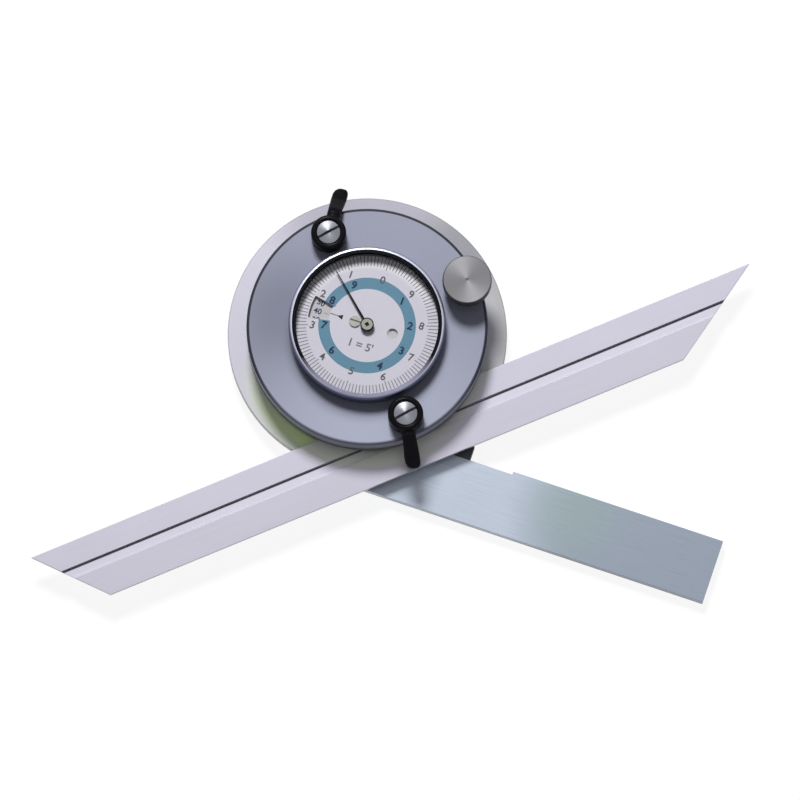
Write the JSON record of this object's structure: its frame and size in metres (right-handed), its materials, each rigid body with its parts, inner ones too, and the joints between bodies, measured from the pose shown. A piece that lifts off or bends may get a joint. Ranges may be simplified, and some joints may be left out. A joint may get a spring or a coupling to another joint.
{
  "type": "dial angle finder",
  "caption": "Dial angle finder: a round geared head that shows degrees and minutes turns on a disc with a fixed stock and holds a long sliding blade.",
  "frame": {"origin": "on the swivel axis, in the plane of the stock's back", "axes": "+X along the stock, away from the pivot; +Z along the swivel axis, towards the dial; the stock's working edge faces -Y"},
  "size_m": [0.2499, 0.2022, 0.036],
  "materials": {
    "disc_steel": "satin",
    "stock_steel": "satin, brushed lengthwise",
    "bracket_black": "satin black",
    "screw_steel": "satin",
    "hub_steel": "turned",
    "gear_brass": "satin",
    "floor_steel": "satin dark grey",
    "housing_grey": "satin grey coating",
    "bezel_satin": "satin",
    "crystal_glass": "clear",
    "dial_white": "matt white with printed scales",
    "tens_white": "matt white with printed numbers",
    "pointer_black": "satin black",
    "arbor_steel": "polished",
    "dial_screw_steel": "satin",
    "knob_steel": "turned, knurled rim",
    "knob_bush_dark": "blackened",
    "blade_steel": "satin",
    "lever_black": "gloss black",
    "lever_screw_steel": "bright"
  },
  "bodies": {
    "base": {"base_disc": "disc_steel", "stock": "stock_steel", "stock_bracket": "bracket_black", "stock_screws": "screw_steel", "stock_dowels": "screw_steel", "bracket_screws": "screw_steel", "base_hub": "hub_steel", "hub_screws": "screw_steel", "gear_ring": "gear_brass", "ring_screws": "screw_steel"},
    "swivel": {"floor_plate": "floor_steel", "floor_screws": "screw_steel", "housing": "housing_grey", "bezel": "bezel_satin", "crystal": "crystal_glass", "crystal_ring": "bezel_satin", "dial_plate": "dial_white", "dial_screw": "dial_screw_steel", "dial_post": "hub_steel", "post_screws": "screw_steel", "movement_plate": "gear_brass", "movement_pillars": "arbor_steel", "movement_screws": "screw_steel", "lower_plate": "gear_brass", "lower_pillars": "arbor_steel", "lower_plate_screws": "screw_steel", "idler_stud": "screw_steel", "lever_bushes": "gear_brass", "knob_bush": "knob_bush_dark"},
    "arbor": {"transfer_arbor": "arbor_steel", "transfer_gear": "gear_brass", "tens_pinion": "gear_brass"},
    "hand": {"pointer_arbor": "arbor_steel", "pointer": "pointer_black"},
    "tens": {"tens_wheel": "gear_brass", "tens_disc": "tens_white"},
    "idler": {"idler_gear": "gear_brass"},
    "fine_knob": {"knob": "knob_steel", "knob_shaft": "arbor_steel", "knob_set_screw": "knob_bush_dark"},
    "blade_arm": {"blade": "blade_steel"},
    "lock_arm": {"lock_lever": "lever_black", "lock_screw": "lever_screw_steel", "lock_collar": "screw_steel"},
    "shoe": {"lock_shoe": "hub_steel"},
    "clamp_arm": {"clamp_lever": "lever_black", "clamp_screw": "lever_screw_steel", "clamp_collar": "screw_steel"},
    "jaw": {"clamp_jaw": "hub_steel"}
  },
  "joints": [
    {"name": "swivel", "type": "hinge", "parent": "base", "child": "swivel", "pos_m": [0, 0, 0], "axis": [0, 0, 1], "continuous": true},
    {"name": "arbor_turn", "type": "hinge", "parent": "swivel", "child": "arbor", "pos_m": [-0.01577, -0.01387, 0], "axis": [0, 0, 1], "continuous": true},
    {"name": "hand_turn", "type": "hinge", "parent": "swivel", "child": "hand", "pos_m": [0, 0, 0], "axis": [0, 0, 1], "continuous": true},
    {"name": "tens_turn", "type": "hinge", "parent": "swivel", "child": "tens", "pos_m": [0, 0, 0], "axis": [0, 0, 1], "continuous": true},
    {"name": "idler_turn", "type": "hinge", "parent": "swivel", "child": "idler", "pos_m": [0.02384, 0.02817, 0], "axis": [0, 0, 1], "continuous": true},
    {"name": "knob_turn", "type": "hinge", "parent": "swivel", "child": "fine_knob", "pos_m": [0.03131, 0.02754, 0], "axis": [0, 0, 1], "continuous": true},
    {"name": "blade_slide", "type": "slide", "parent": "swivel", "child": "blade_arm", "axis": [0.7509, 0.6604, 0], "range_m": [-0.11, 0.11]},
    {"name": "lock_lever_turn", "type": "hinge", "parent": "swivel", "child": "lock_arm", "pos_m": [-0.02543, 0.02891, 0], "axis": [0, 0, 1], "range_deg": [0, 60]},
    {"name": "lock_shoe_lift", "type": "slide", "parent": "swivel", "child": "shoe", "axis": [0, 0, 1], "range_m": [0, 0.000134]},
    {"name": "clamp_lever_turn", "type": "hinge", "parent": "swivel", "child": "clamp_arm", "pos_m": [0.02543, -0.02891, 0], "axis": [0, 0, 1], "range_deg": [0, 50]},
    {"name": "clamp_jaw_drop", "type": "slide", "parent": "swivel", "child": "jaw", "axis": [0, 0, -1], "range_m": [0, 0.000112]}
  ],
  "couplings": [
    {"joint": "arbor_turn", "follows": "swivel", "ratio": -6},
    {"joint": "hand_turn", "follows": "swivel", "ratio": 36},
    {"joint": "tens_turn", "follows": "swivel", "ratio": 1},
    {"joint": "idler_turn", "follows": "swivel", "ratio": 7.2},
    {"joint": "knob_turn", "follows": "swivel", "ratio": -10.8},
    {"joint": "lock_shoe_lift", "follows": "lock_lever_turn", "m_per_rad": 0.00012732},
    {"joint": "clamp_jaw_drop", "follows": "clamp_lever_turn", "m_per_rad": 0.00012732}
  ]
}
